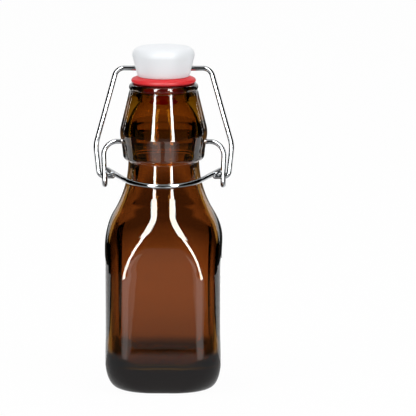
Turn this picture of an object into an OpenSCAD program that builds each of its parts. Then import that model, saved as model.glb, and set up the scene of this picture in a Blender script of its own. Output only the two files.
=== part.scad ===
// Square glass bottle with a swing-top wire closure.
// Millimetres, +Z up. The origin is the middle of the base, on the surface it stands on.
// The flat panels face -Y (front), +Y, -X and +X. The closure pivots along X.

/* [Body] */
// Width across the flat panels
body_w = 50.8; // [44:0.2:64]
// Radius of the upright corners
body_corner_r = 10.4; // [7:0.2:15]
// Height at which the flat panels start to curve in to the shoulder
shoulder_z = 64; // [50:1:100]
// Height at which the upright corners start to curve in to the shoulder
corner_fade_z = 51; // [35:1:62]
// Height above the panels at which the shoulder has become round
round_h = 16; // [12:0.5:18]
// Radius of the outward curve of the shoulder
shoulder_r = 26; // [18:1:30]
// Steepest lean of the shoulder from upright, in degrees
shoulder_lean = 31; // [28:0.5:36]

/* [Base] */
// Height of the rounded heel
heel_h = 14.5; // [8:0.5:18]
// How far the heel draws the flat panels in at the base
heel_inset = 6.1; // [4:0.1:7]
// Radius of the base outline's corners
heel_corner_r = 15.6; // [11:0.2:16]
// Radius of the hollow under the base
push_up_r = 15.5; // [10:0.5:16]
// Depth of the hollow under the base
push_up_h = 2.2; // [1:0.1:3]

/* [Glass] */
// Wall of the body and the shoulder
wall = 2.4; // [1.8:0.1:3.2]
// Glass at the middle of the base, above the hollow
base_t = 4.2; // [3:0.1:6]
// Radius of the inside heel
inner_heel_r = 9; // [6:0.5:12]
// Wall of the neck
neck_wall = 2.9; // [2.4:0.1:3.6]

/* [Neck finish] */
// Diameter of the neck
neck_d = 30.8; // [29:0.2:33]
// Largest diameter of the barrel that carries the pivots
barrel_d = 37.9; // [36.5:0.1:40]
// Diameter of the barrel just above its lower edge
barrel_foot_d = 35.3; // [34.6:0.1:36.2]
// Rounding of the barrel's lower edge
barrel_edge_r = 2.2; // [1:0.1:2.4]
// Height of the widest place above the barrel's lower edge
barrel_mid_h = 11.9; // [11.4:0.1:14]
// Radius of the bulge round the widest place
bulge_r = 20; // [14:1:24]
// Lean of the barrel's sides from upright, in degrees
barrel_lean = 15; // [13:0.5:17]
// Height of the barrel from its lower edge to the crease under the lip
barrel_h = 30.5; // [30:0.5:34]
// Diameter of the barrel at its top
barrel_top_d = 30.3; // [29.6:0.1:31]
// Outer diameter of the lip
lip_d = 30; // [29:0.1:31]
// Radius of the lip's outer bead
lip_bead_r = 1.65; // [1.4:0.05:1.8]
// Depth of the crease between lip and barrel
crease_d = 0.8; // [0.5:0.1:1.2]
// Diameter of the mouth's bore
mouth_d = 19.2; // [19:0.1:21]
// Rounding of the lip's inner edge
mouth_edge_r = 2; // [1.4:0.1:2.4]
// Length of the mouth's bore below the lip, before it opens out into the neck
bore_l = 17; // [12:0.5:20]
// Height of the pivots above the barrel's lower edge
pivot_h = 7.8; // [7:0.1:9]
// Depth of each pivot dimple
pivot_depth = 2.3; // [1.8:0.1:2.8]
// Width of the countersink round each dimple
dimple_d = 4.4; // [4:0.1:5]

/* [Wire closure] */
// Diameter of the wire
wire_d = 2.2; // [1.8:0.05:2.3]
// Radial clearance of the wire in its pivots
pivot_clearance = 0.08; // [0.03:0.01:0.1]
// Clearance between a lever tip and the end of its dimple
tip_clearance = 0.15; // [0.1:0.05:0.3]
// Clearance round the bail's hook in the lever's eye
eye_clearance = 0.3; // [0.2:0.05:0.5]
// Gap between the barrel and the inside of the lever's legs
leg_gap = 5.85; // [5:0.1:8]
// Gap between the lever's legs and the bail's legs beside them
side_gap = 0.25; // [0.15:0.05:0.5]
// Drop from the pivots to the bail's hooks
hook_drop = 15.6; // [14.5:0.1:17]
// How far the hooks sit behind the pivots, so that the closure locks over centre
over_centre = 1.2; // [0.8:0.1:1.6]
// Straight leg of the eye below the hook's middle
eye_below = 1.3; // [0.5:0.1:2]
// Height of the lever's crossing above the hook's middle
eye_above = 3.2; // [3:0.1:3.8]
// Bend at the top of the lever's legs
lever_bend_r = 4; // [3:0.2:4.6]
// Slight bow where the lever's legs meet the eyes
leg_bow_r = 12; // [6:1:20]
// Bend from the eye into the crossing
cross_bend_r = 2.4; // [2:0.1:2.6]
// Heading of the handle's straight arms, in degrees from sideways
arm_heading = 56.6; // [52:0.2:60]
// Fall of the handle from the crossing to its front, in degrees
handle_fall = 11.2; // [10:0.2:12]
// Gap between the handle and the neck
handle_gap = 0.45; // [0.3:0.05:1]
// Spread of the bail: widest distance between its leg centres
bail_w = 59.4; // [58:0.2:64]
// Height of the bail's widest place above its hooks
bail_knee_h = 13.8; // [12:0.2:18]
// Distance between the bail's upper bends, at the crossbar
bail_top_w = 40.6; // [36:0.2:44]
// Bends beside the stopper
bail_top_r = 3.6; // [2.6:0.2:5]
// Bends at the widest place
bail_knee_r = 15; // [8:1:20]
// Bends into the hooks
hook_r = 2.4; // [2.2:0.1:2.6]
// How far the hooks reach inwards past the lever's legs
hook_reach = 3.4; // [3:0.1:4]

/* [Stopper and gasket] */
// Diameter of the stopper's head
head_d = 27; // [25:0.2:29]
// Diameter of the stopper's foot
foot_d = 23.2; // [22.4:0.2:24.6]
// Height of the stopper above the gasket
stopper_h = 13.5; // [12.5:0.1:16]
// Height of the head's widest place above the gasket
head_wide_h = 7.9; // [7:0.1:8.4]
// Rounding of the head's top edge
head_edge_r = 4.4; // [3:0.1:5]
// Rise of the head's domed top above its edge
dome_h = 0.75; // [0.4:0.05:1]
// Straight foot below the head's taper
foot_h = 2.7; // [2:0.1:3]
// Height of the wire's bore above the gasket
bore_h = 3.4; // [2.6:0.1:3.8]
// Diameter of the peg that holds the gasket
peg_d = 6.4; // [5:0.2:7]
// Diameter of the knob at the peg's end
knob_d = 8; // [7.2:0.2:9]
// Length of the peg below the stopper's foot
peg_l = 7.6; // [6.5:0.1:8]
// Outer diameter of the gasket
gasket_d = 28; // [26:0.2:29]
// Thickness of the gasket's flange
gasket_t = 2.8; // [2.2:0.1:3.4]
// Diameter of the plug inside the mouth
plug_d = 17.6; // [16.4:0.1:17.7]
// Length of the plug below the flange
plug_l = 8.3; // [8:0.1:9.5]
// Height of the plug's tapered end
plug_taper_h = 3.7; // [3:0.1:5]
// Diameter of the plug's flat end
plug_end_d = 9.4; // [8:0.2:12]
// Gap between the gasket and the lip
seat_gap = 0.2; // [0.1:0.05:0.4]

/* [Hidden] */
// Facets of a full turn on round work, and of a quarter turn on the glass corners
TURN = 64;
CORNER = 10;
// Narrow flat left between the corner arcs where the section has become round
ROUND_FLAT = 0.05;
// Overrun of a cut past the face that it opens
CUT = 1;
// Size of a weld ball against the wire, and the gap left for it at the end of each bar
BALL_OVER = 1.002;
WELD_GAP = 0.02;
// Straight left at the bottom of the lever's eyes
EYE_FLAT = 0.1;

half_w = body_w / 2;
neck_r = neck_d / 2;
wire_r = wire_d / 2;
// The inward curve of the shoulder meets the outward curve and the neck
waist_r = (half_w - neck_r) / (1 - cos(shoulder_lean)) - shoulder_r;
neck_z = shoulder_z + (half_w - neck_r) / tan(shoulder_lean / 2);
turn_z = shoulder_z + shoulder_r * sin(shoulder_lean);
round_z = shoulder_z + round_h;
barrel_z = neck_z;
crease_z = barrel_z + barrel_h;
lip_z = crease_z + lip_bead_r * (1 + sin(60));
pivot_z = barrel_z + pivot_h;
// Heights of the closure, stacked on the lip
gasket_z = lip_z + seat_gap;
stopper_z = gasket_z + gasket_t;
crossbar_z = stopper_z + bore_h;
hook_z = pivot_z - hook_drop;
// Side positions of the wires
leg_x = barrel_d / 2 + leg_gap + wire_r;
hook_x = leg_x + wire_d + side_gap;
// Half the distance between the eye's two legs, with the hook between them
eye_r = wire_d + eye_clearance;
eye_front_y = over_centre - eye_r;
eye_back_y = over_centre + eye_r;
eye_base_z = hook_z - eye_below - eye_r;
cross_z = hook_z + eye_above;
floor_z = push_up_h + base_t;
// Where a pivot dimple meets the side of the barrel
pivot_x = barrel_d / 2 - bulge_r + sqrt(pow(bulge_r, 2) - pow(barrel_mid_h - pivot_h, 2));

function smooth(t) = t * t * (3 - 2 * t);
function unit(v) = v / norm(v);
function arc(c, r, from, to, n = 8) =
    [for (i = [0 : n]) let (a = from + (to - from) * i / n) c + r * [cos(a), sin(a)]];

// Half width of the bottle at height z, from the panels up to the neck
function shoulder_w(z) =
    z <= shoulder_z ? half_w
    : z <= turn_z ? half_w - shoulder_r + sqrt(pow(shoulder_r, 2) - pow(z - shoulder_z, 2))
    : neck_r + waist_r - sqrt(pow(waist_r, 2) - pow(min(neck_z - z, waist_r), 2));
// Lean of the shoulder at height z, from upright
function shoulder_a(z) =
    z <= shoulder_z ? 0
    : z <= turn_z ? asin((z - shoulder_z) / shoulder_r)
    : asin(max(neck_z - z, 0) / waist_r);
// How far the section has gone from square, 0, to round, 1
function roundness(z) = smooth(min(max((z - corner_fade_z) / (round_z - corner_fade_z), 0), 1));
function corner_r(w, r, z) = let (full = w - ROUND_FLAT) min(full, r + (full - r) * roundness(z));

// Ring of points at height z: a square of half width w with corners of radius r
function ring(w, r, z) =
    [for (k = [0 : 3], i = [0 : CORNER])
        let (a = 90 * (k + i / CORNER), m = 90 * k + 45, c = (w - r) * sqrt(2))
        [c * cos(m) + r * cos(a), c * sin(m) + r * sin(a), z]];

// Outside of the heel, from the base up: a quarter ellipse
HEEL_STEPS = 7;
function heel_ring(i) =
    let (a = 90 * (1 - i / HEEL_STEPS), k = 1 - cos(a), w = half_w - heel_inset * k,
         r = body_corner_r + (heel_corner_r - body_corner_r) * k)
    ring(w, min(r, w - ROUND_FLAT), heel_h * (1 - sin(a)));

// Outside of the shoulder, from where the corners start to fade up to where it is round
SHOULDER_STEPS = 12;
function shoulder_ring(i) =
    let (z = corner_fade_z + (round_z - corner_fade_z) * i / SHOULDER_STEPS, w = shoulder_w(z))
    ring(w, corner_r(w, body_corner_r, z), z);

// Inside of the heel, from the floor up
INNER_HEEL_STEPS = 5;
function inner_heel_ring(i) =
    let (a = 90 * (1 - i / INNER_HEEL_STEPS), w = half_w - wall - inner_heel_r * (1 - cos(a)))
    ring(w, min(body_corner_r - wall + (inner_heel_r - 2) * (1 - cos(a)), w - ROUND_FLAT),
         floor_z + inner_heel_r * (1 - sin(a)));

// Inside of the shoulder: the wall is laid off at right angles to the outside
function inner_shoulder_ring(i) =
    let (z = corner_fade_z + (round_z - corner_fade_z) * i / SHOULDER_STEPS,
         w = shoulder_w(z) - wall / cos(shoulder_a(z)))
    ring(w, corner_r(w, body_corner_r - wall, z), z);

// Solid through a stack of rings that have equally many points
module loft(rings) {
    n = len(rings[0]);
    top = (len(rings) - 1) * n;
    polyhedron(
        points = [for (r = rings) each r],
        faces = [
            [for (j = [0 : n - 1]) j],
            [for (j = [n - 1 : -1 : 0]) top + j],
            for (i = [0 : len(rings) - 2], j = [0 : n - 1])
                let (a = i * n + j, b = i * n + (j + 1) % n)
                each [[a, a + n, b], [b, a + n, b + n]]
        ]);
}

// Upper shoulder, neck, barrel and lip, as half an outline from the axis out
function shoulder_line() =
    [for (i = [0 : 10]) let (z = round_z + (neck_z - round_z) * i / 10) [shoulder_w(z), z]];
function barrel_line() =
    let (mid = [barrel_d / 2, barrel_z + barrel_mid_h],
         foot = [barrel_foot_d / 2, barrel_z + barrel_edge_r],
         top = [barrel_top_d / 2, crease_z],
         bulge = mid - [bulge_r, 0],
         low = bulge + bulge_r * [cos(barrel_lean), -sin(barrel_lean)],
         high = bulge + bulge_r * [cos(barrel_lean), sin(barrel_lean)],
         low_l = (low.x - foot.x) / tan(barrel_lean),
         high_l = (high.x - top.x) / tan(barrel_lean))
    concat(arc(foot - [barrel_edge_r, 0], barrel_edge_r, -90, 0, 5),
           [[foot.x, low.y - low_l]],
           arc(bulge, bulge_r, -barrel_lean, barrel_lean, 8),
           [[top.x, high.y + high_l], top - [0, crease_d / 2]]);
function lip_line() =
    let (bead = [lip_d / 2 - lip_bead_r, lip_z - lip_bead_r])
    concat([[barrel_top_d / 2 - crease_d, crease_z]], arc(bead, lip_bead_r, -60, 90, 8));

module finish() {
    rotate_extrude($fn = TURN)
        polygon(concat([[0, round_z]], shoulder_line(), barrel_line(), lip_line(), [[0, lip_z]]));
}

// Inside of the neck and mouth
module bore() {
    mouth_r = mouth_d / 2;
    inner_neck_r = neck_r - neck_wall;
    edge = [mouth_r + mouth_edge_r, lip_z - mouth_edge_r];
    neck_side = [for (i = [0 : 10]) let (z = round_z + (neck_z - round_z) * i / 10, f = i / 10)
        [shoulder_w(z) - (wall + (neck_wall - wall) * f) / cos(shoulder_a(z)), z]];
    rotate_extrude($fn = TURN)
        polygon(concat([[0, round_z - CUT], [neck_side[0].x, round_z - CUT]], neck_side,
            [[inner_neck_r, neck_z + 1], [mouth_r, lip_z - bore_l]],
            arc(edge, mouth_edge_r, 180, 90, 5), [[edge.x, lip_z + CUT], [0, lip_z + CUT]]));
}

// Blind hole for a lever tip, with its countersink, on the side given by s
module dimple(s) {
    r = wire_r + pivot_clearance;
    sink = dimple_d / 2 - r;
    translate([s * (pivot_x - pivot_depth), 0, pivot_z]) rotate([0, s * 90, 0]) {
        cylinder(h = pivot_depth + CUT, r = r, $fn = TURN);
        translate([0, 0, pivot_depth - sink])
            cylinder(h = 2 * sink, r1 = r, r2 = r + 2 * sink, $fn = TURN);
    }
}

module bottle() color("#6b3a12") difference() {
    union() {
        loft([for (i = [0 : HEEL_STEPS]) heel_ring(i), for (i = [0 : SHOULDER_STEPS]) shoulder_ring(i)]);
        finish();
    }
    loft([for (i = [0 : INNER_HEEL_STEPS]) inner_heel_ring(i),
          for (i = [0 : SHOULDER_STEPS]) inner_shoulder_ring(i)]);
    bore();
    push_up_sphere_r = (pow(push_up_r, 2) + pow(push_up_h, 2)) / (2 * push_up_h);
    translate([0, 0, push_up_h - push_up_sphere_r]) sphere(r = push_up_sphere_r, $fn = 2 * TURN);
    for (s = [-1, 1]) dimple(s);
}

// Round bar from a to b
module bar(a, b, d) {
    v = b - a;
    translate(a) rotate([0, acos(v.z / norm(v)), atan2(v.y, v.x)])
        cylinder(h = norm(v), d = d, $fn = TURN / 2);
}

// Length of straight that a bend of radius r uses up on each side of the corner at b
function bend_l(a, b, c, r) = r * tan(acos(unit(b - a) * unit(c - b)) / 2);

// Bend of radius r in the corner that a-b-c makes
module bend(a, b, c, r, d) {
    u = unit(b - a);
    v = unit(c - b);
    inward = unit(v - u * (u * v));
    axis = cross(u, inward);
    centre = b - u * bend_l(a, b, c, r) + inward * r;
    multmatrix([[-inward.x, u.x, axis.x, centre.x],
                [-inward.y, u.y, axis.y, centre.y],
                [-inward.z, u.z, axis.z, centre.z]])
        rotate_extrude(angle = acos(u * v), $fn = TURN)
            translate([r, 0]) circle(d = d, $fn = TURN / 2);
}

// Ball that welds two lengths of wire, a hair over the wire's size
module ball(at, d) {
    translate(at) sphere(d = d * BALL_OVER, $fn = TURN / 2);
}

// Wire through corners p, bent to radius r[i] at corner i, with round tips
module wire(p, r, d) {
    last = len(p) - 1;
    used = [for (i = [0 : last]) i == 0 || i == last ? 0 : bend_l(p[i - 1], p[i], p[i + 1], r[i])];
    for (i = [0 : last - 1]) {
        u = unit(p[i + 1] - p[i]);
        start = p[i] + u * used[i];
        end = p[i + 1] - u * used[i + 1];
        ball(start, d);
        ball(end, d);
        if (norm(end - start) > 3 * WELD_GAP) bar(start + u * WELD_GAP, end - u * WELD_GAP, d);
    }
    for (i = [1 : last - 1]) bend(p[i - 1], p[i], p[i + 1], r[i], d);
}

// A list from its end to its start, and the right half of a wire from its left half
function back(list) = [for (i = [len(list) - 1 : -1 : 0]) list[i]];
function flip(half) = [for (v = back(half)) [-v.x, v.y, v.z]];

// Lower wire: pivots, legs, an eye for each hook, and the handle round the front of the neck
module lever() color("#c9ccd0") {
    tip_x = pivot_x - pivot_depth + wire_r * BALL_OVER + tip_clearance;
    corner = [-leg_x, eye_back_y, cross_z];
    slope = tan(handle_fall);
    // Front of the handle, clear of the neck where the wire's underside passes it
    front_neck_r = shoulder_w(cross_z - (eye_back_y + neck_r + wire_d) * slope - wire_r);
    front_y = -(front_neck_r + wire_r + handle_gap);
    // The arms would meet at the apex; the round front cuts that corner at front_y
    apex_y = eye_back_y - leg_x * tan(arm_heading);
    apex = [0, apex_y, cross_z + (apex_y - eye_back_y) * slope];
    handle_r = (front_y - apex_y) / cos(handle_fall) / (1 / abs(unit(apex - corner).x) - 1);
    left = [[-tip_x, 0, pivot_z], [-leg_x, 0, pivot_z], [-leg_x, eye_front_y, hook_z],
            [-leg_x, eye_front_y, eye_base_z], [-leg_x, eye_back_y, eye_base_z], corner];
    left_r = [0, lever_bend_r, leg_bow_r, eye_r - EYE_FLAT / 2, eye_r - EYE_FLAT / 2, cross_bend_r];
    wire(concat(left, [apex], flip(left)), concat(left_r, [handle_r], back(left_r)), wire_d);
}

// Upper wire: the crossbar in the stopper, the two legs and the hooks
module bail() color("#c9ccd0") {
    rise = [0, -over_centre, crossbar_z - hook_z];
    knee = [-bail_w / 2, over_centre, hook_z] + rise * bail_knee_h / norm(rise);
    left = [[-(leg_x - hook_reach), over_centre, hook_z], [-hook_x, over_centre, hook_z],
            knee, [-bail_top_w / 2, 0, crossbar_z]];
    left_r = [0, hook_r, bail_knee_r, bail_top_r];
    wire(concat(left, flip(left)), concat(left_r, back(left_r)), wire_d);
}

module stopper() color("#f2f4f5") {
    head_r = head_d / 2;
    foot_r = foot_d / 2;
    edge = [head_r - head_edge_r, stopper_z + stopper_h - dome_h - head_edge_r];
    difference() {
        rotate_extrude($fn = TURN) polygon(concat(
            [[0, stopper_z], [foot_r - 0.4, stopper_z], [foot_r, stopper_z + 0.4],
             [foot_r, stopper_z + foot_h]],
            [[head_r - 0.9, stopper_z + head_wide_h - 1.9], [head_r - 0.2, stopper_z + head_wide_h - 0.6]],
            [[head_r, max(stopper_z + head_wide_h, edge.y)]],
            arc(edge, head_edge_r, 0, 80, 8),
            [[edge.x * 0.6, edge.y + head_edge_r + 0.5 * dome_h],
             [edge.x * 0.25, edge.y + head_edge_r + 0.92 * dome_h], [0, edge.y + head_edge_r + dome_h]]));
        translate([-head_r, 0, crossbar_z]) rotate([0, 90, 0])
            cylinder(h = head_d, r = wire_r + pivot_clearance, $fn = TURN);
    }
    // Peg and knob that the gasket buttons onto
    rotate_extrude($fn = TURN) polygon([
        [0, stopper_z + 0.5], [peg_d / 2, stopper_z + 0.5], [peg_d / 2, stopper_z - peg_l + 3],
        [knob_d / 2, stopper_z - peg_l + 2], [knob_d / 2, stopper_z - peg_l + 1],
        [knob_d / 2 - 1, stopper_z - peg_l], [0, stopper_z - peg_l]]);
}

module gasket() color("#e8202a") {
    r = gasket_d / 2;
    fit = 0.05;
    end_z = gasket_z - plug_l;
    taper_z = end_z + plug_taper_h;
    knob_z = stopper_z - peg_l;
    rotate_extrude($fn = TURN) difference() {
        polygon(concat(
            [[0, end_z], [plug_end_d / 2, end_z], [plug_d / 2, taper_z], [plug_d / 2, gasket_z],
             [r - 0.8, gasket_z]],
            [[r - 0.25, gasket_z + 0.4], [r, gasket_z + 1.1], [r - 0.05, gasket_z + 1.7],
             [r - 0.5, gasket_z + 2.3], [foot_d / 2 + 0.9, stopper_z], [0, stopper_z]]));
        polygon([[0, stopper_z + CUT], [peg_d / 2 + fit, stopper_z + CUT],
            [peg_d / 2 + fit, knob_z + 3 + fit], [knob_d / 2 + fit, knob_z + 2 + fit],
            [knob_d / 2 + fit, knob_z + 1 - fit], [knob_d / 2 - 1 + fit, knob_z - fit],
            [0, knob_z - fit]]);
    }
}

bottle();
stopper();
gasket();
bail();
lever();
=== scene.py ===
"""A square amber bottle with a swing-top wire closure: its looks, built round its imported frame.

The glass is one closed skin lofted through level rings. The two wires are round bars that Geometry
Nodes sweep along bent paths. The stopper and its gasket are turned. Sizes of the bottle are in
millimetres, and those of the set round it in metres.
"""
import math

import bpy
from mathutils import Matrix, Vector


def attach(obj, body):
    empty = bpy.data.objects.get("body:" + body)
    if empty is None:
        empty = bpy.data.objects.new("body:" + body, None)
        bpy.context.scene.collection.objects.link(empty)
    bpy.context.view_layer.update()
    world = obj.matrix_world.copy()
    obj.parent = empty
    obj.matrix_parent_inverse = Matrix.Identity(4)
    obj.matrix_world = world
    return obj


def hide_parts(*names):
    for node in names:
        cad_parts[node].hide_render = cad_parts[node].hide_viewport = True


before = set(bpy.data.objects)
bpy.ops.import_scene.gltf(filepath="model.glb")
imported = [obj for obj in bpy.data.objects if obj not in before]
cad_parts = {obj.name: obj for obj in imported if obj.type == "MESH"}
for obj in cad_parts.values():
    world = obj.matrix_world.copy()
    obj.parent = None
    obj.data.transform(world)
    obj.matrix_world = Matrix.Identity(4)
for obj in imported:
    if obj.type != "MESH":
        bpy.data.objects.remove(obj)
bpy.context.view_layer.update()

MM = 0.001
scene = bpy.context.scene

# ---------------------------------------------------------------- sizes, mm
# Body and shoulder
HALF_W = 25.4
CORNER_R = 10.4
SHOULDER_Z = 64.0
SHOULDER_R = 26.0
SHOULDER_LEAN = math.radians(31)
CORNER_FADE_Z = 51.0       # above this the corners open out
ROUND_Z = 80.0             # and from here up the section is round
PANEL_IN = 0.4
PANEL_FADE_H = 10.0
HEEL_OUT = 0.25
HEEL_FADE_H = 13.0
# Base
HEEL_H = 14.5
HEEL_INSET = 6.1
HEEL_CORNER_R = 15.6
PUSH_UP_R = 15.5
PUSH_UP_H = 2.2
# Thickness of the glass
WALL = 2.4
NECK_WALL = 2.9
BASE_T = 7.0
INNER_HEEL_R = 9.0
INNER_CORNER_GROW = 7.0    # how much rounder the inner corners get down the heel
# Barrel and lip
NECK_R = 15.4
BARREL_R = 18.95
BARREL_FOOT_R = 17.7
BARREL_EDGE_R = 2.2
BARREL_EDGE_TURN = (-85, -4)                               # degrees round its lower edge
BARREL_FOOT_H = 3.1
BARREL_MID_H = 11.9
BARREL_H = 30.5
BULGE_R = 12.0
COLLAR_R = 15.0
COLLAR_H = 1.0
CREASE_EDGE = ((0.01, 0.5), (0.1, 0.27), (0.55, 0.05))     # in from the collar, below the crease
LIP_R = 15.0
LIP_BEAD_R = 1.65
BEAD_START = 60            # degrees below level at which the bead leaves the crease
MOUTH_R = 9.6
MOUTH_EDGE_R = 2.0
BORE_L = 6.5
BELLY = 3.6                # how far the hollow inside the barrel swells
BELLY_RISE = 0.85          # below 1, the swelling is widest above its middle
BELLY_END_H = 1.0
# Pits for the lever's tips
PIVOT_H = 7.8
PIVOT_X = 18.5             # face of the glass beside the pivot
PIVOT_DEPTH = 2.3
PIVOT_CLEARANCE = 0.08
DIMPLE_R = 2.2
DIMPLE_FLARE_H = 1.1
DIMPLE_LIP = 0.6
DIMPLE_END = ((0.5, 0.0), (0.9, 0.02), (1.0, 0.12))        # share of the bore's radius, depth
CUT_PAST = 2.0             # how far a cutter goes past the glass
# Wires
WIRE_R = 1.1
TIP_CLEARANCE = 0.15
LEG_GAP = 5.75
LEG_SPLAY = 0.6
HOOK_OUT = 2.45
HOOK_DROP = 15.6
HOOK_R = 2.4
HOOK_REACH = 3.4
OVER_CENTRE = 1.2          # how far behind the pivot the hooks lie when the bottle is shut
EYE_CLEARANCE = 0.3
EYE_BELOW = 1.3
EYE_ABOVE = 3.2
LEVER_BEND_R = 6.0
LEG_BOW_R = 12.0
CROSS_BEND_R = 2.4
ARM_HEADING = math.radians(56.6)
HANDLE_FALL = math.radians(11.2)
HANDLE_GAP = 0.45
BAIL_ELBOW_OUT = 0.6
BAIL_ELBOW_H = 6.0
BAIL_ELBOW_R = 12.0
BAIL_KNEE_X = 29.7
BAIL_KNEE_H = 13.8
BAIL_KNEE_R = 15.0
BAIL_TOP_X = 20.3
BAIL_TOP_R = 4.2
# Stopper
HEAD_R = 13.5
HEAD_EDGE_R = 3.4
HEAD_EDGE_END = 82         # degrees round the edge at which the dome begins
DOME_H = 0.75
FOOT_R = 11.3
FOOT_EDGE_R = 0.4
STOPPER_H = 13.5
BORE_H = 3.4
BORE_CLEARANCE = 0.1
# Gasket
GASKET_R = 14.0
GASKET_T = 2.8
GASKET_EDGE_R = 1.0
GASKET_SLOPE = 22.0        # degrees
PLUG_R = 8.8
PLUG_L = 8.3
PLUG_TAPER_H = 3.7
PLUG_END_R = 4.7
SEAT_GAP = 0.2

# Heights and places that follow from the sizes above
HEEL_W = HALF_W - PANEL_IN + HEEL_OUT
WAIST_R = (HALF_W - NECK_R) / (1 - math.cos(SHOULDER_LEAN)) - SHOULDER_R
NECK_Z = SHOULDER_Z + (HALF_W - NECK_R) / math.tan(SHOULDER_LEAN / 2)
TURN_Z = SHOULDER_Z + SHOULDER_R * math.sin(SHOULDER_LEAN)
FLOOR_Z = PUSH_UP_H + BASE_T
CREASE_Z = NECK_Z + BARREL_H
LIP_Z = CREASE_Z + LIP_BEAD_R * (1 + math.sin(math.radians(BEAD_START)))
PIVOT_Z = NECK_Z + PIVOT_H
GASKET_Z = LIP_Z + SEAT_GAP
STOPPER_Z = GASKET_Z + GASKET_T
CROSSBAR_Z = STOPPER_Z + BORE_H
HOOK_Z = PIVOT_Z - HOOK_DROP
LEG_X = BARREL_R + LEG_GAP + WIRE_R
HOOK_X = LEG_X + HOOK_OUT
EYE_R = 2 * WIRE_R + EYE_CLEARANCE
EYE_BEND_R = EYE_R - 0.05

# ---------------------------------------------------------------- fineness
ARC_STEPS = 28             # points on each corner of a ring
FLAT_STEPS = 6             # points along each flat of a ring
ROUND_FLAT = 0.12          # flat that stays where the section is round
PUSH_UP_RINGS = 12
FOOT_RINGS = 4
HEEL_RINGS = 16
BODY_RINGS = 24
SHOULDER_RINGS = 60
BORE_RINGS = 7
BELLY_RINGS = 30
NECK_RINGS = 16
INNER_SHOULDER_RINGS = 30
INNER_BODY_RINGS = 8
INNER_HEEL_RINGS = 14
FLOOR_RINGS = 5
BULGE_STEPS = 30
BEAD_STEPS = 14
EDGE_STEPS = 10
DIMPLE_STEPS = 5
HEAD_EDGE_STEPS = 18
FOOT_EDGE_STEPS = 4
GASKET_EDGE_STEPS = 6
DOME_SHARES = (0.85, 0.65, 0.45, 0.25, 0.08)               # of the dome's radius, going in
TURNED_SIDES = 96
CUTTER_SIDES = 32
WIRE_SIDES = 24
WIRE_TIP_RINGS = 7
BEND_STEP = 0.25           # mm along a bend of a wire

# ---------------------------------------------------------------- camera
IMAGE_PX = 416
MM_PER_PX = 0.4406
AXIS_PX = (164.3, 383.2)   # where the middle of the base shows
CAMERA_AZIMUTH = math.radians(1.2)
CAMERA_ELEVATION = math.radians(10.3)
CAMERA_DISTANCE = 1.5
SENSOR_MM = 36.0


def add_camera():
    """A long lens in front of the bottle, looking a little down at it."""
    a, e = CAMERA_AZIMUTH, CAMERA_ELEVATION
    back = Vector((math.sin(a) * math.cos(e), -math.cos(a) * math.cos(e), math.sin(e)))
    right = Vector((math.cos(a), math.sin(a), 0))
    up = back.cross(right)
    half = IMAGE_PX / 2
    target = (right * (half - AXIS_PX[0]) + up * (AXIS_PX[1] - half)) * MM_PER_PX * MM
    data = bpy.data.cameras.new("camera")
    data.sensor_width = SENSOR_MM
    data.lens = SENSOR_MM * CAMERA_DISTANCE / (IMAGE_PX * MM_PER_PX * MM)
    data.clip_start = 0.01
    data.clip_end = 20
    camera = bpy.data.objects.new("camera", data)
    scene.collection.objects.link(camera)
    camera.matrix_world = Matrix.Translation(target + back * CAMERA_DISTANCE) @ Matrix(
        (right, up, back)).transposed().to_4x4()
    scene.camera = camera


# ---------------------------------------------------------------- nodes
def linear(hex_colour):
    """An sRGB hex colour as linear RGBA."""
    parts = [int(hex_colour[i:i + 2], 16) / 255 for i in (1, 3, 5)]
    return tuple(c / 12.92 if c <= 0.04045 else ((c + 0.055) / 1.055) ** 2.4 for c in parts) + (1.0,)


def add_node(tree, kind, links=None, values=None, **settings):
    """Adds a node, sets its properties and socket values, and links sockets into it."""
    made = tree.nodes.new(kind)
    for key, value in settings.items():
        setattr(made, key, value)
    for key, value in (values or {}).items():
        made.inputs[key].default_value = value
    for key, source in (links or {}).items():
        tree.links.new(source, made.inputs[key])
    return made


def new_material(name):
    """An empty node material and its tree."""
    material = bpy.data.materials.new(name)
    material.use_nodes = True
    material.node_tree.nodes.clear()
    return material, material.node_tree


def finish_material(tree, shader, volume=None):
    """Links the shaders to the material's output."""
    output = add_node(tree, "ShaderNodeOutputMaterial", {"Surface": shader.outputs[0]})
    if volume:
        tree.links.new(volume.outputs[0], output.inputs["Volume"])


def uneven(tree, lump_mm, detail, strength, height_mm):
    """Bump in object space, with lumps of a real width and height."""
    where = add_node(tree, "ShaderNodeTexCoord")
    noise = add_node(tree, "ShaderNodeTexNoise", {"Vector": where.outputs["Object"]},
                     {"Scale": 1 / (lump_mm * MM), "Detail": detail, "Roughness": 0.5})
    return add_node(tree, "ShaderNodeBump", {"Height": noise.outputs[0]},
                    {"Strength": strength, "Distance": height_mm * MM})


# ---------------------------------------------------------------- materials
def amber_glass():
    """Amber container glass, blow moulded: a clear wet-looking surface, browner the thicker it is."""
    material, tree = new_material("amber_container_glass")
    # A mould leaves glass very slightly uneven, which makes the gleams waver
    bump = uneven(tree, 8.33, 1.0, 0.15, 0.1)
    shader = add_node(tree, "ShaderNodeBsdfPrincipled", {"Normal": bump.outputs[0]}, {
        "Base Color": linear("#D49C89"), "Roughness": 0.0, "IOR": 1.52, "Transmission Weight": 1.0})
    # Light is lost along its way through the glass, so the heel and the edges go nearly black
    tint = add_node(tree, "ShaderNodeVolumeAbsorption", None,
                    {"Color": linear("#E7E2A0"), "Density": 600.0})
    finish_material(tree, shader, tint)
    return material


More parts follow.
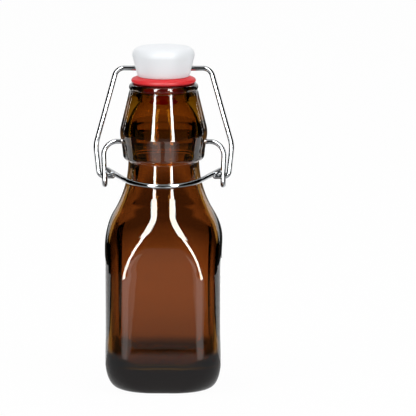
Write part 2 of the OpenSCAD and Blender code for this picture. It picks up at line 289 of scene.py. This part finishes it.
def bright_wire():
    """Drawn steel wire, nickel plated: a bright, slightly grey mirror that wavers a little."""
    material, tree = new_material("nickel_plated_steel_wire")
    bump = uneven(tree, 3.33, 1.0, 0.05, 0.02)
    shader = add_node(tree, "ShaderNodeBsdfPrincipled", {"Normal": bump.outputs[0]}, {
        "Base Color": linear("#ACAEB0"), "Metallic": 1.0, "Roughness": 0.08})
    finish_material(tree, shader)
    return material


def stopper_plastic():
    """White polypropylene, injection moulded: satin, with a little light let in."""
    material, tree = new_material("white_moulded_polypropylene")
    bump = uneven(tree, 0.667, 3.0, 0.08, 0.05)
    shader = add_node(tree, "ShaderNodeBsdfPrincipled", {"Normal": bump.outputs[0]}, {
        "Base Color": linear("#EDF0F3"), "Roughness": 0.45, "IOR": 1.49,
        "Subsurface Weight": 0.25, "Subsurface Radius": (0.003, 0.003, 0.003),
        "Subsurface Scale": 1.0})
    finish_material(tree, shader)
    return material


def gasket_silicone():
    """Red silicone rubber, moulded: a soft sheen, and edges that glow a little."""
    material, tree = new_material("red_silicone_rubber")
    bump = uneven(tree, 1.43, 2.0, 0.1, 0.1)
    shader = add_node(tree, "ShaderNodeBsdfPrincipled", {"Normal": bump.outputs[0]}, {
        "Base Color": linear("#E0141E"), "Roughness": 0.45, "IOR": 1.43,
        "Subsurface Weight": 0.1, "Subsurface Radius": (0.002, 0.0005, 0.0004),
        "Subsurface Scale": 1.0})
    finish_material(tree, shader)
    return material


# ---------------------------------------------------------------- lines and meshes
def spread(start, end, steps):
    """Values from start to end in equal steps, both ends included."""
    return [start + (end - start) * i / steps for i in range(steps + 1)]


def smooth(t):
    """Eases from 0 to 1 as t does, level at both ends."""
    t = min(max(t, 0.0), 1.0)
    return t * t * (3 - 2 * t)


def arc(centre, r, start, end, steps):
    """Points (radius, height) round an arc, angles in degrees."""
    return [(centre[0] + r * math.cos(a), centre[1] + r * math.sin(a))
            for a in spread(math.radians(start), math.radians(end), steps)]


def between(start, end, count):
    """Points inside a straight line."""
    return [tuple(Vector(start).lerp(Vector(end), t)) for t in spread(0, 1, count + 1)[1:-1]]


def touch(centre, r, point, side):
    """Angle, in degrees, where a tangent from the point meets the circle, above it or below."""
    v = Vector(point) - Vector(centre)
    return math.degrees(math.atan2(v.y, v.x) - side * math.acos(r / v.length))


def mirrored(left):
    """Corners of the right half of a wire, from those of its left half."""
    return [((-x, y, z), r) for (x, y, z), r in reversed(left)]


def loft_mesh(name, rings):
    """Closed skin through rings of equally many points; the first and last are closed to a pole."""
    n = len(rings[0])
    verts = [Vector(p) * MM for ring_points in rings for p in ring_points]
    poles = [sum((Vector(p) for p in r), Vector()) / n * MM for r in (rings[0], rings[-1])]
    first, last = len(verts), len(verts) + 1
    top = (len(rings) - 1) * n
    faces = []
    for low in range(0, top, n):
        for j in range(n):
            k = (j + 1) % n
            faces.append((low + j, low + k, low + n + k, low + n + j))
    for j in range(n):
        k = (j + 1) % n
        faces.append((k, j, first))
        faces.append((top + j, top + k, last))
    mesh = bpy.data.meshes.new(name)
    mesh.from_pydata(verts + poles, [], faces)
    mesh.update()
    return mesh


def turned_mesh(name, line, sides):
    """A revolved outline, given from its lower pole to its upper one."""
    turns = spread(0, 2 * math.pi, sides)[:-1]
    return loft_mesh(name, [[(r * math.cos(a), r * math.sin(a), z) for a in turns] for r, z in line])


def add_object(name, mesh):
    """Adds an object to the scene, at the origin."""
    made = bpy.data.objects.new(name, mesh)
    scene.collection.objects.link(made)
    return made


def add_piece(name, mesh, material):
    """A piece of the bottle in one material, shaded smooth."""
    mesh.materials.append(material)
    for face in mesh.polygons:
        face.use_smooth = True
    return add_object(name, mesh)


def bake(piece):
    """Turns the piece as its modifiers show it into a plain mesh, and removes them."""
    bpy.context.view_layer.update()
    evaluated = piece.evaluated_get(bpy.context.evaluated_depsgraph_get())
    mesh = bpy.data.meshes.new_from_object(evaluated)
    piece.modifiers.clear()
    old = piece.data
    piece.data = mesh
    bpy.data.meshes.remove(old)


def cut_hole(piece, line, place):
    """Subtracts a turned cutter, moved to its place by a matrix."""
    mesh = turned_mesh("cutter", line, CUTTER_SIDES)
    mesh.transform(place)
    cutter = add_object("cutter", mesh)
    modifier = piece.modifiers.new("cut", "BOOLEAN")
    modifier.operation = "DIFFERENCE"
    modifier.solver = "EXACT"
    modifier.object = cutter
    bake(piece)
    bpy.data.objects.remove(cutter)


def laid_along_x(x, z, side):
    """Places a cutter that was turned round Z: its axis along X, to the left or the right."""
    return Matrix.Translation(Vector((x, 0, z)) * MM) @ Matrix.Rotation(side * math.pi / 2, 4, "Y")


# ---------------------------------------------------------------- glass
def outside_w(z):
    """Half width of the outside at height z, above the heel."""
    if z <= SHOULDER_Z:
        return (HALF_W - PANEL_IN * smooth((SHOULDER_Z - z) / PANEL_FADE_H)
                + HEEL_OUT * smooth((HEEL_H + HEEL_FADE_H - z) / HEEL_FADE_H))
    if z <= TURN_Z:
        return HALF_W - SHOULDER_R + math.sqrt(SHOULDER_R ** 2 - (z - SHOULDER_Z) ** 2)
    rise = max(NECK_Z - z, 0.0)
    return NECK_R + WAIST_R - math.sqrt(WAIST_R ** 2 - rise ** 2)


def outside_lean(z):
    """Lean of the outside from upright at height z."""
    if z <= SHOULDER_Z:
        return 0.0
    if z <= TURN_Z:
        return math.asin((z - SHOULDER_Z) / SHOULDER_R)
    return math.asin(max(NECK_Z - z, 0.0) / WAIST_R)


def inside_w(z, wall):
    """Half width of the inside at height z, for a wall measured square to the outside."""
    return outside_w(z) - wall / math.cos(outside_lean(z))


def corner_r(w, r, z):
    """Corner radius of the section of half width w, which goes round towards the neck."""
    full = w - ROUND_FLAT
    return min(full, r + (full - r) * smooth((z - CORNER_FADE_Z) / (ROUND_Z - CORNER_FADE_Z)))


def ring(w, r, z):
    """Square of half width w with corners of radius r, at height z."""
    points = []
    centre = w - r
    for quarter in range(4):
        turn = Matrix.Rotation(quarter * math.pi / 2, 2)
        for a in spread(0, math.pi / 2, ARC_STEPS):
            points.append(turn @ Vector((centre + r * math.cos(a), centre + r * math.sin(a))))
        for x in spread(centre, -centre, FLAT_STEPS)[1:-1]:
            points.append(turn @ Vector((x, w)))
    return [(p.x, p.y, z) for p in points]


def round_ring(r, z):
    """A round section, with as many points as a square one."""
    return ring(r, r - ROUND_FLAT * min(1.0, r / 10), z)


def outside_rings():
    """Rings of the outside, from the middle of the hollow base up to the neck."""
    sphere_r = (PUSH_UP_R ** 2 + PUSH_UP_H ** 2) / (2 * PUSH_UP_H)
    rings = [round_ring(r, PUSH_UP_H - sphere_r + math.sqrt(sphere_r ** 2 - r ** 2))
             for r in spread(0, PUSH_UP_R, PUSH_UP_RINGS)[1:]]
    # The flat rim that the bottle stands on
    rim_w = HEEL_W - HEEL_INSET
    for t in spread(0, 1, FOOT_RINGS)[1:-1]:
        w = PUSH_UP_R + (rim_w - PUSH_UP_R) * t
        rings.append(ring(w, w - ROUND_FLAT - (rim_w - HEEL_CORNER_R - ROUND_FLAT) * t, 0.0))
    # The heel, a quarter of an ellipse, whose corners tighten on the way up
    for a in spread(math.pi / 2, 0, HEEL_RINGS):
        k = 1 - math.cos(a)
        rings.append(ring(HEEL_W - HEEL_INSET * k, CORNER_R + (HEEL_CORNER_R - CORNER_R) * k,
                          HEEL_H * (1 - math.sin(a))))
    for z in spread(HEEL_H, CORNER_FADE_Z, BODY_RINGS)[1:-1]:
        rings.append(ring(outside_w(z), CORNER_R, z))
    for z in spread(CORNER_FADE_Z, NECK_Z, SHOULDER_RINGS):
        w = outside_w(z)
        rings.append(ring(w, corner_r(w, CORNER_R, z), z))
    return rings


def barrel_line():
    """Outline of the barrel and the lip, from the neck up and over into the mouth."""
    foot = (BARREL_FOOT_R, NECK_Z + BARREL_FOOT_H)
    collar = (COLLAR_R, CREASE_Z - COLLAR_H)
    mid = (BARREL_R - BULGE_R, NECK_Z + BARREL_MID_H)
    bulge = arc(mid, BULGE_R, touch(mid, BULGE_R, foot, -1), touch(mid, BULGE_R, collar, 1),
                BULGE_STEPS)
    line = arc((BARREL_FOOT_R - BARREL_EDGE_R, NECK_Z + BARREL_EDGE_R), BARREL_EDGE_R,
               *BARREL_EDGE_TURN, EDGE_STEPS)
    line += between(foot, bulge[0], 3) + bulge + between(bulge[-1], collar, 6)
    line += [(COLLAR_R - inset, CREASE_Z - drop) for inset, drop in CREASE_EDGE]
    line += arc((LIP_R - LIP_BEAD_R, LIP_Z - LIP_BEAD_R), LIP_BEAD_R, -BEAD_START, 90,
                BEAD_STEPS)
    line += arc((MOUTH_R + MOUTH_EDGE_R, LIP_Z - MOUTH_EDGE_R), MOUTH_EDGE_R, 90, 180, EDGE_STEPS)
    return line


def inside_rings():
    """Rings of the inside, from the mouth's bore down to the middle of the floor."""
    bore_z = LIP_Z - BORE_L
    belly_z = NECK_Z + BELLY_END_H
    inner_r = CORNER_R - WALL
    rings = [round_ring(MOUTH_R, z) for z in spread(LIP_Z - MOUTH_EDGE_R, bore_z, BORE_RINGS)[1:-1]]
    for t in spread(0, 1, BELLY_RINGS):
        r = MOUTH_R + (NECK_R - NECK_WALL - MOUTH_R) * smooth(t)
        rings.append(round_ring(r + BELLY * math.sin(math.pi * t ** BELLY_RISE),
                                bore_z + (belly_z - bore_z) * t))
    for t in spread(0, 1, NECK_RINGS)[:-1]:
        z = NECK_Z + (ROUND_Z - NECK_Z) * t
        rings.append(round_ring(inside_w(z, NECK_WALL + (WALL - NECK_WALL) * t), z))
    for z in spread(ROUND_Z, CORNER_FADE_Z, INNER_SHOULDER_RINGS):
        w = inside_w(z, WALL)
        rings.append(ring(w, corner_r(w, inner_r, z), z))
    w = HALF_W - PANEL_IN - WALL
    for z in spread(CORNER_FADE_Z, FLOOR_Z + INNER_HEEL_R, INNER_BODY_RINGS)[1:-1]:
        rings.append(ring(w, inner_r, z))
    for a in spread(0, math.pi / 2, INNER_HEEL_RINGS):
        k = 1 - math.cos(a)
        heel_w = w - INNER_HEEL_R * k
        rings.append(ring(heel_w, min(inner_r + INNER_CORNER_GROW * k, heel_w - ROUND_FLAT),
                          FLOOR_Z + INNER_HEEL_R * (1 - math.sin(a))))
    for r in spread(w - INNER_HEEL_R, 0, FLOOR_RINGS + 1)[1:-1]:
        rings.append(round_ring(r, FLOOR_Z))
    return rings


def dimple_line():
    """Outline of a pit for a lever's tip: an eased end, a straight bore and a flared mouth."""
    r = WIRE_R + PIVOT_CLEARANCE
    bore_l = PIVOT_DEPTH - DIMPLE_FLARE_H
    mouth_r = DIMPLE_R + DIMPLE_LIP
    line = [(r * share, depth) for share, depth in DIMPLE_END] + [(r, bore_l)]
    line += arc((DIMPLE_R, bore_l + 0.1), DIMPLE_R - r, 180, 120, DIMPLE_STEPS)
    return line + [(mouth_r, PIVOT_DEPTH + DIMPLE_LIP), (mouth_r, PIVOT_DEPTH + CUT_PAST)]


def make_bottle(material):
    """The glass: one closed skin, outside and inside, with the two pivot dimples."""
    rings = outside_rings() + [round_ring(r, z) for r, z in barrel_line()] + inside_rings()
    piece = add_piece("glass_bottle", loft_mesh("glass_bottle", rings), material)
    for side in (-1, 1):
        cut_hole(piece, dimple_line(), laid_along_x(side * (PIVOT_X - PIVOT_DEPTH), PIVOT_Z, side))
    for face in piece.data.polygons:
        face.use_smooth = True
    return piece


# ---------------------------------------------------------------- wires
def bent_path(corners, radii):
    """Points along straight bars and true bends through the corners."""
    path = [corners[0]]
    for before, corner, after, r in zip(corners, corners[1:], corners[2:], radii[1:]):
        u = (corner - before).normalized()
        v = (after - corner).normalized()
        turn = u.angle(v)
        inward = (v - u * u.dot(v)).normalized()
        centre = corner - u * r * math.tan(turn / 2) + inward * r
        steps = max(6, int(r * turn / BEND_STEP))
        path += [centre + (u * math.sin(a) - inward * math.cos(a)) * r for a in spread(0, turn, steps)]
    return path + [corners[-1]]


def round_bar_tree():
    """Geometry Nodes that sweep a round bar along a line of edges, thinned by its taper attribute."""
    tree = bpy.data.node_groups.new("round_bar", "GeometryNodeTree")
    for name, kind in (("Line", "Geometry"), ("Bar radius", "Float"), ("Sides", "Int"),
                       ("Finish", "Material")):
        tree.interface.new_socket(name, in_out="INPUT", socket_type="NodeSocket" + kind)
    tree.interface.new_socket("Bar", in_out="OUTPUT", socket_type="NodeSocketGeometry")
    given = add_node(tree, "NodeGroupInput")
    line = add_node(tree, "GeometryNodeMeshToCurve", {"Mesh": given.outputs["Line"]})
    taper = add_node(tree, "GeometryNodeInputNamedAttribute", None, {"Name": "taper"})
    section = add_node(tree, "GeometryNodeCurvePrimitiveCircle", {
        "Resolution": given.outputs["Sides"], "Radius": given.outputs["Bar radius"]})
    bar = add_node(tree, "GeometryNodeCurveToMesh", {
        "Curve": line.outputs["Curve"], "Profile Curve": section.outputs["Curve"],
        "Scale": taper.outputs["Attribute"]}, {"Fill Caps": True})
    even = add_node(tree, "GeometryNodeSetShadeSmooth", {"Geometry": bar.outputs["Mesh"]})
    real = add_node(tree, "GeometryNodeRealizeInstances", {"Geometry": even.outputs["Geometry"]})
    finish = add_node(tree, "GeometryNodeSetMaterial", {
        "Geometry": real.outputs["Geometry"], "Material": given.outputs["Finish"]})
    add_node(tree, "NodeGroupOutput", {"Bar": finish.outputs["Geometry"]})
    return tree


def add_wire(name, tree, corners, material):
    """A wire through corners, each a place and a bend's radius, with rounded tips."""
    path = bent_path([Vector(place) for place, r in corners], [r for place, r in corners])
    first = (path[0] - path[1]).normalized()
    last = (path[-1] - path[-2]).normalized()
    tip = [(WIRE_R * math.cos(a), math.sin(a)) for a in spread(0, math.pi / 2, WIRE_TIP_RINGS)[1:-1]]
    points = [path[0] + first * beyond for beyond, taper in tip] + path
    points += [path[-1] + last * beyond for beyond, taper in reversed(tip)]
    tapers = [taper for beyond, taper in tip]
    mesh = bpy.data.meshes.new(name)
    mesh.from_pydata([p * MM for p in points], [(i, i + 1) for i in range(len(points) - 1)], [])
    mesh.attributes.new("taper", "FLOAT", "POINT").data.foreach_set(
        "value", tapers + [1.0] * len(path) + tapers[::-1])
    piece = add_object(name, mesh)
    modifier = piece.modifiers.new("round_bar", "NODES")
    modifier.node_group = tree
    for socket, value in (("Bar radius", WIRE_R * MM), ("Sides", WIRE_SIDES), ("Finish", material)):
        modifier[tree.interface.items_tree[socket].identifier] = value
    bake(piece)
    return piece


def make_lever(tree, material):
    """Lower wire: tips, legs, an eye for each hook and the handle round the neck."""
    tip_x = PIVOT_X - PIVOT_DEPTH + WIRE_R + TIP_CLEARANCE
    front_y, back_y = OVER_CENTRE - EYE_R, OVER_CENTRE + EYE_R
    eye_z = HOOK_Z - EYE_BELOW - EYE_R
    cross_z = HOOK_Z + EYE_ABOVE
    # The handle's arms meet at an apex, and its bend there clears the front of the neck
    slope = math.tan(HANDLE_FALL)
    neck_r = outside_w(cross_z - (back_y + NECK_R + 2 * WIRE_R) * slope - WIRE_R)
    handle_y = -(neck_r + WIRE_R + HANDLE_GAP)
    apex_y = back_y - LEG_X * math.tan(ARM_HEADING)
    shoulder = Vector((-LEG_X, back_y, cross_z))
    apex = Vector((0, apex_y, cross_z + (apex_y - back_y) * slope))
    arm = (apex - shoulder).normalized()
    handle_r = (handle_y - apex_y) / math.cos(HANDLE_FALL) / (1 / abs(arm.x) - 1)
    left = [((-tip_x, 0, PIVOT_Z), 0), ((-LEG_X - LEG_SPLAY, 0, PIVOT_Z), LEVER_BEND_R),
            ((-LEG_X, front_y, HOOK_Z), LEG_BOW_R), ((-LEG_X, front_y, eye_z), EYE_BEND_R),
            ((-LEG_X, back_y, eye_z), EYE_BEND_R), (shoulder, CROSS_BEND_R)]
    return add_wire("lever_wire", tree, left + [(apex, handle_r)] + mirrored(left), material)


def make_bail(tree, material):
    """Upper wire: the crossbar in the stopper, the legs and the hooks."""
    rise = Vector((0, -OVER_CENTRE, CROSSBAR_Z - HOOK_Z)).normalized()
    elbow = Vector((-HOOK_X - BAIL_ELBOW_OUT, OVER_CENTRE, HOOK_Z)) + rise * BAIL_ELBOW_H
    knee = Vector((-BAIL_KNEE_X, OVER_CENTRE, HOOK_Z)) + rise * BAIL_KNEE_H
    left = [((-(LEG_X - HOOK_REACH), OVER_CENTRE, HOOK_Z), 0), ((-HOOK_X, OVER_CENTRE, HOOK_Z), HOOK_R),
            (elbow, BAIL_ELBOW_R), (knee, BAIL_KNEE_R), ((-BAIL_TOP_X, 0, CROSSBAR_Z), BAIL_TOP_R)]
    return add_wire("bail_wire", tree, left + mirrored(left), material)


# ---------------------------------------------------------------- stopper and gasket
def make_stopper(material):
    """Cone with a rounded edge and a low dome, with the crossways bore for the bail."""
    foot = Vector((FOOT_R - FOOT_EDGE_R, STOPPER_Z + FOOT_EDGE_R))
    edge = Vector((HEAD_R - HEAD_EDGE_R, STOPPER_Z + STOPPER_H - DOME_H - HEAD_EDGE_R))
    up = edge - foot
    a = math.degrees(math.atan2(up.y, up.x) - math.acos((FOOT_EDGE_R - HEAD_EDGE_R) / up.length))
    low = arc(foot, FOOT_EDGE_R, -90, a, FOOT_EDGE_STEPS)
    high = arc(edge, HEAD_EDGE_R, a, HEAD_EDGE_END, HEAD_EDGE_STEPS)
    rim_r, rim_z = high[-1]
    top_z = STOPPER_Z + STOPPER_H
    line = [(2.0, STOPPER_Z), (FOOT_R - 0.6, STOPPER_Z)] + low + between(low[-1], high[0], 6) + high
    line += [(rim_r * t, top_z - (top_z - rim_z) * t ** 2) for t in DOME_SHARES]
    piece = add_piece("stopper_head", turned_mesh("stopper_head", line, TURNED_SIDES), material)
    bore_r = WIRE_R + BORE_CLEARANCE
    past_x = HEAD_R * 1.5
    bore = [(bore_r / 2, -past_x), (bore_r, -past_x), (bore_r, past_x), (bore_r / 2, past_x)]
    cut_hole(piece, bore, laid_along_x(0, CROSSBAR_Z, 1))
    return piece


def make_gasket(material):
    """Flange with a rounded edge and the tapered plug below it."""
    end_z = GASKET_Z - PLUG_L
    taper_z = end_z + PLUG_TAPER_H
    r = GASKET_EDGE_R
    slope = math.radians(GASKET_SLOPE)
    rim_z = STOPPER_Z - (GASKET_R - r - FOOT_R) * math.tan(slope) - r / math.cos(slope)
    # The plug has an eased end, an eased bend above its taper, and a small fillet at the flange
    line = [(0.6, end_z), (PLUG_END_R - 0.5, end_z), (PLUG_END_R, end_z + 0.2),
            (PLUG_R - 0.4, taper_z - 0.4), (PLUG_R, taper_z + 0.2), (PLUG_R, GASKET_Z - 0.3),
            (PLUG_R + 0.3, GASKET_Z)]
    line += arc((GASKET_R - r, GASKET_Z + r), r, -90, 0, GASKET_EDGE_STEPS)
    line += arc((GASKET_R - r, rim_z), r, 0, 90 - GASKET_SLOPE, GASKET_EDGE_STEPS)
    # Under the stopper's foot its top lies a hair lower
    top_z = STOPPER_Z - 0.01
    line += [(FOOT_R + 0.2, STOPPER_Z - 0.1), (FOOT_R - 0.6, top_z), (1.0, top_z)]
    return add_piece("gasket_ring", turned_mesh("gasket_ring", line, TURNED_SIDES), material)


# ---------------------------------------------------------------- set, metres
FLOOR_REACH = 6.0
FLOOR_WHITE = 0.97         # share of plain white in the floor that the camera sees
# Painted light on the floor, seen only through the glass and in polished faces: how bright it is by
# distance from the bottle, a painted shadow next to the bottle and a painted pool of light round it
PAINTED_FLOOR_POOL_THROUGH_GLASS = [(0.0, 0.05), (0.045, 0.08), (0.07, 0.5), (0.14, 0.68), (0.20, 0.8), (0.27, 0.8),
                       (0.336, 0.46), (0.41, 0.3), (0.46, 0.19), (0.59, 0.2), (0.70, 0.62)]
PAINTED_FLOOR_POOL_IN_GLOSS = [(0.0, 0.5), (0.125, 0.5), (0.145, 0.03)]
# Box of black flags round the set
FLAG_X = 0.9
FLAG_FRONT = -2.2
FLAG_BACK = 1.0
FLAG_TOP = 1.6
# Cards on the floor: near y and half width there, far y and half width there, brightness
FRONT_CARD = (-0.75, 0.34, -0.145, 0.16, 0.28)
BACK_CARD = (0.03, 0.5, 0.28, 0.5, 1.3)
# Gleams for the upright corners: layer, half gap between them, share of their reach, brightness
GLEAMS = ((2, 0.018, 0.72, 0.8), (3, 0.024, 0.58, 1.5))
GLEAM_NEAR_Y = -0.30
GLEAM_FAR_Y = -0.09
# Bare lanes of floor behind, with black sheets beside them as painted shade, seen only through the glass:
# near y, far y, and half widths there
LANES = ((0.06, 0.62, 0.035, 0.11), (0.62, FLAG_BACK, 0.2, 0.3))
# Lamps
LAMP_AIM = (0, 0, 0.09)
STRIP_AZIMUTH = math.radians(26)
STRIP_DISTANCE = 0.65
STRIP_PARTS = ((0.0, 0.42, 0.085, 26), (0.42, 1.3, 0.2, 20))     # from, to, width, radiance
FLOOR_STRIP = (0.30, STRIP_DISTANCE, 0.07, 20)
FLOOR_STRIP_Z = 0.004
SOFT_BOX = ((0.9, -0.7, 1.0), (0.7, 0.7), 6)                     # place, size, watts
OVERHEAD = ((0, 0.1, 1.4), (1.2, 1.4), 5)
ROOM_LEVEL = 0.45


def ray_mix(tree, ray, otherwise, shader):
    """Shows one shader to a kind of ray and another to the rest."""
    rays = add_node(tree, "ShaderNodeLightPath")
    return add_node(tree, "ShaderNodeMixShader", {0: rays.outputs[ray], 1: otherwise.outputs[0],
                                                  2: shader.outputs[0]})


def painted_floor_pool(tree, levels):
    """Painted light on the floor: white glow whose strength changes with the distance from the bottle."""
    where = add_node(tree, "ShaderNodeTexCoord")
    away = add_node(tree, "ShaderNodeVectorMath", {0: where.outputs["Object"]}, operation="LENGTH")
    ramp = add_node(tree, "ShaderNodeValToRGB", {"Fac": away.outputs["Value"]})
    stops = ramp.color_ramp.elements
    while len(stops) < len(levels):
        stops.new(1.0)
    for stop, (distance, level) in zip(stops, levels):
        stop.position = distance
        stop.color = (level, level, level, 1)
    return add_node(tree, "ShaderNodeEmission", {"Color": ramp.outputs["Color"]}, {"Strength": 1.0})


def add_stage(name, corners, material):
    """A flat sheet of the set, which isn't part of the bottle."""
    mesh = bpy.data.meshes.new(name)
    mesh.from_pydata(corners, [], [(0, 1, 2, 3)])
    mesh.materials.append(material)
    sheet = add_object(name, mesh)
    return sheet


def make_floor():
    """A pale floor: near white to the camera, with a painted pool of light and shadow through the glass
    and in polished faces.
    """
    material, tree = new_material("pale_floor")
    diffuse = add_node(tree, "ShaderNodeBsdfDiffuse", None, {"Color": linear("#F4F4F4")})
    white = add_node(tree, "ShaderNodeEmission", None, {"Color": (1, 1, 1, 1), "Strength": 1.0})
    rays = add_node(tree, "ShaderNodeLightPath")
    seen = add_node(tree, "ShaderNodeMath", {0: rays.outputs["Is Camera Ray"]}, {1: FLOOR_WHITE},
                    operation="MULTIPLY")
    plain = add_node(tree, "ShaderNodeMixShader", {0: seen.outputs[0], 1: diffuse.outputs[0],
                                                   2: white.outputs[0]})
    # Polished faces and the glass see painted light on the floor, graded by distance from the bottle
    mix = ray_mix(tree, "Is Glossy Ray", plain, painted_floor_pool(tree, PAINTED_FLOOR_POOL_IN_GLOSS))
    mix = ray_mix(tree, "Is Transmission Ray", mix, painted_floor_pool(tree, PAINTED_FLOOR_POOL_THROUGH_GLASS))
    finish_material(tree, mix)
    x = FLOOR_REACH
    add_stage("floor", [(-x, -x, 0), (x, -x, 0), (x, x, 0), (-x, x, 0)], material)


def add_card(name, corners, level):
    """A card that only polished faces and the glass show: at level 0 it is a black flag."""
    material, tree = new_material(name)
    glow = add_node(tree, "ShaderNodeEmission", None, {"Color": (1, 1, 1, 1), "Strength": level})
    finish_material(tree, glow)
    card = add_stage(name, corners, material)
    card.visible_camera = False
    card.visible_diffuse = False
    card.visible_shadow = False
    return card


def add_floor_card(name, corners, layer, level):
    """A card lying on the floor, a millimetre up for each layer."""
    return add_card(name, [(x, y, layer * MM) for x, y in corners], level)


def make_flags():
    """Black flags in front, at the sides and above, for the dark parts of the glass and the wires, and
    black sheets of painted shade on the floor.
    """
    x, front, back, top = FLAG_X, FLAG_FRONT, FLAG_BACK, FLAG_TOP
    add_card("front_flag", [(-x, front, 0), (x, front, 0), (x, front, top), (-x, front, top)], 0.0)
    add_card("left_flag", [(-x, front, 0), (-x, back, 0), (-x, back, top), (-x, front, top)], 0.0)
    add_card("right_flag", [(x, front, 0), (x, back, 0), (x, back, top), (x, front, top)], 0.0)
    add_card("top_flag", [(-x, front, top), (x, front, top), (x, back, top), (-x, back, top)], 0.0)
    # Black sheets on the floor beside the lanes: painted shade that only the glass shows
    for side in (-1, 1):
        for near_y, far_y, near_x, far_x in LANES:
            flag = add_floor_card("painted_shade_floor_sheet", [(side * near_x, near_y), (side * x, near_y),
                                                (side * x, far_y), (side * far_x, far_y)], 1, 0.0)
            flag.visible_glossy = False


def make_reflections():
    """Cards on the floor that show only as gleams on the outside of the glass and on the wires."""
    cards = []
    for name, card in (("front_card", FRONT_CARD), ("back_card", BACK_CARD)):
        near_y, near_x, far_y, far_x, level = card
        cards.append(add_floor_card(name, [(-near_x, near_y), (near_x, near_y), (far_x, far_y),
                                           (-far_x, far_y)], 1, level))
    # The inner edges of the gleams run straight at the camera
    lean = math.tan(CAMERA_AZIMUTH)
    near_y, far_y = GLEAM_NEAR_Y, GLEAM_FAR_Y
    for side in (-1, 1):
        for layer, inner, reach, level in GLEAMS:
            cards.append(add_floor_card("corner_gleam", [
                (side * inner + near_y * lean, near_y), (-side * near_y * reach, near_y),
                (-side * far_y * reach, far_y), (side * inner + far_y * lean, far_y)], layer, level))
    for card in cards:
        card.visible_transmission = False


def add_area(name, place, aim, size, watts):
    """A rectangular lamp aimed at a point."""
    data = bpy.data.lights.new(name, "AREA")
    data.shape = "RECTANGLE"
    data.size, data.size_y = size
    data.energy = watts
    lamp = add_object(name, data)
    lamp.location = place
    lamp.rotation_euler = (Vector(aim) - Vector(place)).to_track_quat("-Z", "Y").to_euler()
    return lamp


def add_strip(place, aim, width, length, radiance):
    """A strip lamp that only polished faces and the glass show."""
    strip = add_area("strip", place, aim, (width, length), radiance * math.pi * width * length)
    strip.visible_diffuse = False
    strip.visible_camera = False
    return strip


def polar(side, distance, height):
    """A place on the line of the left or the right strip, by distance from the bottle."""
    a = STRIP_AZIMUTH * side
    return Vector((distance * math.sin(a), -distance * math.cos(a), height))


def add_lights():
    """Tall strips at the front for the gleams, one along the floor to each, and soft boxes."""
    for side in (-1, 1):
        for low, high, width, radiance in STRIP_PARTS:
            middle = (low + high) / 2
            add_strip(polar(side, STRIP_DISTANCE, middle), polar(side, 0, middle), width, high - low,
                      radiance)
        start, end, width, radiance = FLOOR_STRIP
        middle = polar(side, (start + end) / 2, FLOOR_STRIP_Z)
        strip = add_strip(middle, middle + Vector((0, 0, 1)), width, end - start, radiance)
        strip.rotation_euler = (math.pi, 0, STRIP_AZIMUTH * side)
        (x, y, z), size, watts = SOFT_BOX
        fill = add_area("soft_box", (side * x, y, z), LAMP_AIM, size, watts)
        fill.visible_glossy = False
        fill.visible_transmission = False
    place, size, watts = OVERHEAD
    overhead = add_area("overhead", place, (place[0], place[1], 0), size, watts)
    overhead.visible_transmission = False


def add_world():
    """A dim room, white where the camera, the glass and polished faces see it."""
    world = bpy.data.worlds.new("studio")
    world.use_nodes = True
    tree = world.node_tree
    tree.nodes.clear()
    room, white = [add_node(tree, "ShaderNodeBackground", None, {"Color": (1, 1, 1, 1), "Strength": level})
                   for level in (ROOM_LEVEL, 1.0)]
    mix = room
    for ray in ("Is Glossy Ray", "Is Transmission Ray", "Is Camera Ray"):
        mix = ray_mix(tree, ray, mix, white)
    add_node(tree, "ShaderNodeOutputWorld", {"Surface": mix.outputs[0]})
    scene.world = world
    scene.view_settings.view_transform = "Standard"


# ---------------------------------------------------------------- build
add_camera()
make_floor()
make_flags()
make_reflections()
add_lights()
add_world()

round_bar = round_bar_tree()
wire_finish = bright_wire()
pieces = [
    (make_bottle(amber_glass()), "bottle", "bottle", "amber_glass"),
    (make_lever(round_bar, wire_finish), "lever", "lever", "closure_wire"),
    (make_bail(round_bar, wire_finish), "bail", "bail", "closure_wire"),
    (make_stopper(stopper_plastic()), "stopper", "stopper", "stopper_plastic"),
    (make_gasket(gasket_silicone()), "stopper", "gasket", "gasket_rubber"),
]
for piece, body, cad_node, slot in pieces:
    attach(piece, body)
    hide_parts(cad_node)
